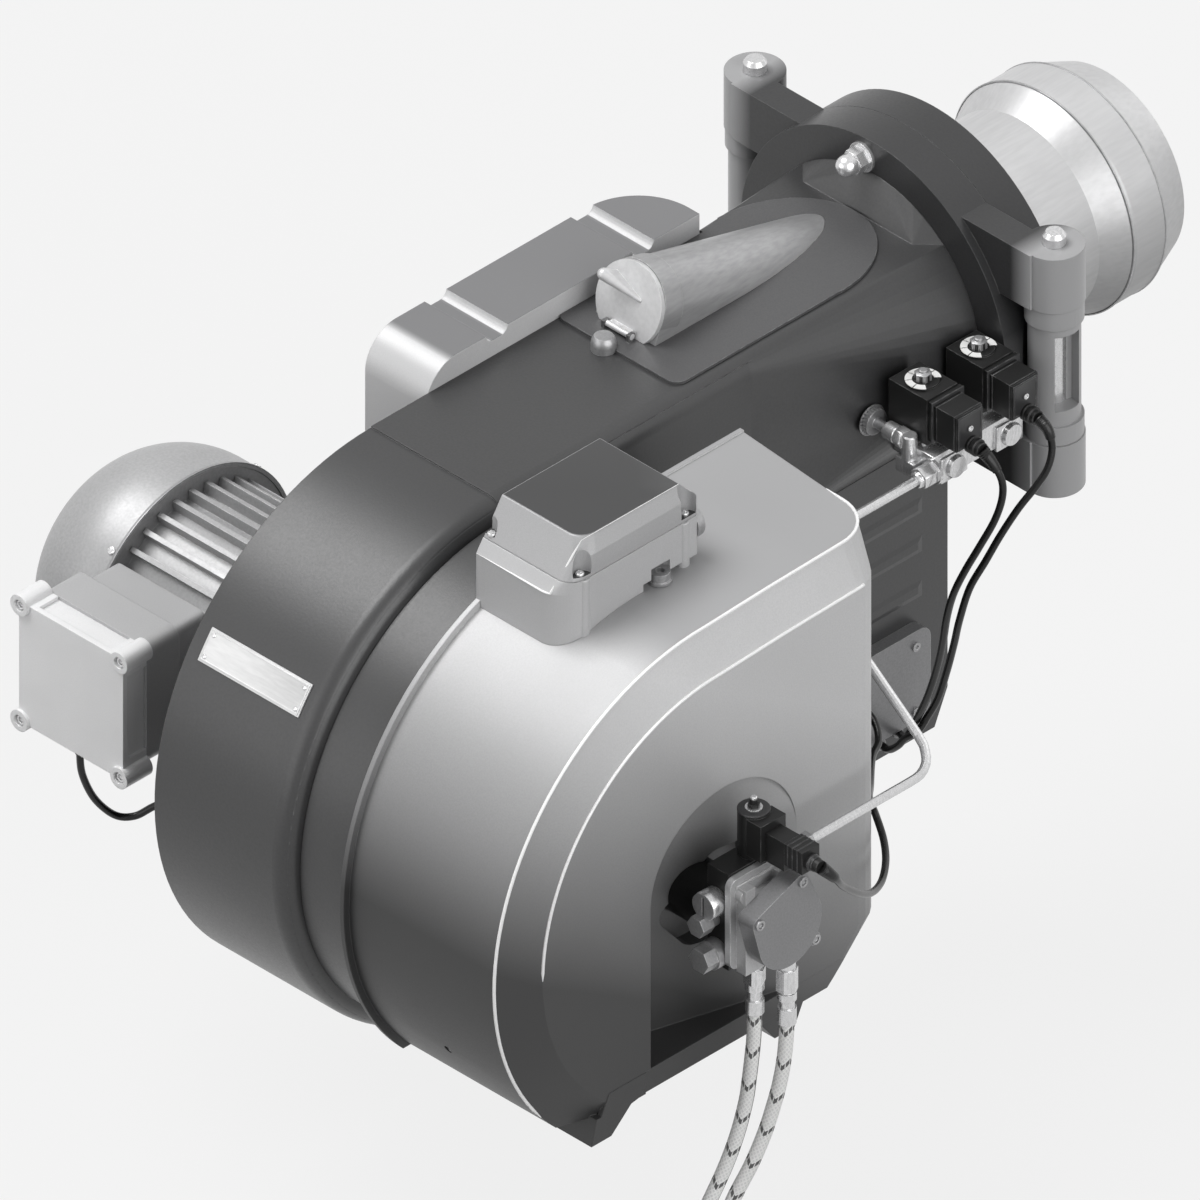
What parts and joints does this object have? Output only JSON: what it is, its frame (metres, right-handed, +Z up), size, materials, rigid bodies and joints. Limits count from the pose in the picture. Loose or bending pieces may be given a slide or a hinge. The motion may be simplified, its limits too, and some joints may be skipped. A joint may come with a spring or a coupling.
{
  "type": "oil burner",
  "caption": "Forced-draught oil burner: hinged flange with flame tube, fan scroll, air inlet cowl, motor, oil pump with hoses, solenoid valves, control box and sight tube.",
  "frame": {"origin": "centre of the face of the boiler flange that seals on the boiler, on the burner axis", "axes": "+Y along the flame into the boiler, +X along the fan shaft towards the oil pump, +Z up"},
  "size_m": [0.9324, 1.1414, 0.8236],
  "materials": {
    "casting": "matte dark grey",
    "plate_dark": "matte dark grey",
    "hinge_steel": "satin",
    "tube_steel": "satin",
    "cowl_silver": "satin",
    "motor_silver": "satin",
    "box_grey": "matte",
    "control_grey": "matte",
    "steel": "bright",
    "brass": "satin",
    "black_plastic": "matte",
    "cable": "satin",
    "braid": "braided",
    "ceramic": "glazed"
  },
  "bodies": {
    "base": {"boiler_flange": "casting", "flame_tube": "tube_steel", "baffle_disc": "tube_steel", "nozzle_assembly": "brass", "ignition_electrodes": "ceramic", "hinge_pin_right": "hinge_steel"},
    "housing": {"hinge_ring": "casting", "fan_housing": "casting", "side_console": "casting", "console_cover": "box_grey", "intake_ring": "casting", "intake_cowl": "cowl_silver", "cover_screws": "steel", "servo_box": "box_grey", "servo_lid": "box_grey", "sight_plate": "plate_dark", "sight_tube": "tube_steel", "flange_nuts": "steel", "control_housing": "control_grey", "motor_body": "motor_silver", "motor_cowl": "motor_silver", "terminal_box": "box_grey", "terminal_lid": "control_grey", "name_plate": "steel", "pump_mount": "black_plastic", "pump_body": "motor_silver", "pump_cover": "motor_silver", "pump_fittings": "steel", "pump_coil": "black_plastic", "pump_plug": "black_plastic", "oil_pipe": "steel", "valve_manifold": "steel", "valve_bracket": "steel", "valve_coils": "black_plastic", "valve_plugs": "black_plastic", "valve_knob": "brass", "hose_fittings": "steel", "supply_hose": "braid", "return_hose": "braid", "hose_ends": "steel", "hose_tie": "black_plastic", "motor_cable": "cable", "valve_cable_a": "cable", "valve_cable_b": "cable", "pump_cable": "cable"},
    "rotor": {"motor_shaft": "steel", "fan_wheel": "motor_silver", "cooling_fan": "black_plastic"},
    "damper": {"air_damper": "steel"},
    "servo_output": {"servo_shaft": "steel"},
    "flap": {"sight_flap": "tube_steel"},
    "left_pin": {"hinge_pin_left": "hinge_steel"}
  },
  "joints": [
    {"name": "flange_hinge", "type": "hinge", "parent": "base", "child": "housing", "pos_m": [0.1913, -0.039, 0], "axis": [0, 0, 1], "range_deg": [0, 65]},
    {"name": "fan_spin", "type": "hinge", "parent": "housing", "child": "rotor", "pos_m": [0, -0.646, -0.202], "axis": [1, 0, 0], "continuous": true},
    {"name": "damper_turn", "type": "hinge", "parent": "housing", "child": "damper", "pos_m": [0.262, -0.646, -0.3], "axis": [0, 1, 0], "range_deg": [0, 85]},
    {"name": "servo_turn", "type": "hinge", "parent": "housing", "child": "servo_output", "pos_m": [0.258, -0.57, 0.128], "axis": [0, 1, 0], "range_deg": [0, 85]},
    {"name": "flap_hinge", "type": "hinge", "parent": "housing", "child": "flap", "pos_m": [-0.017, -0.3883, 0.1097], "axis": [1, 0, 0], "range_deg": [0, 45]},
    {"name": "left_pin_lift", "type": "slide", "parent": "housing", "child": "left_pin", "axis": [0, 0, 1], "range_m": [0, 0.08]}
  ],
  "couplings": [
    {"joint": "servo_turn", "follows": "damper_turn", "ratio": 1}
  ]
}
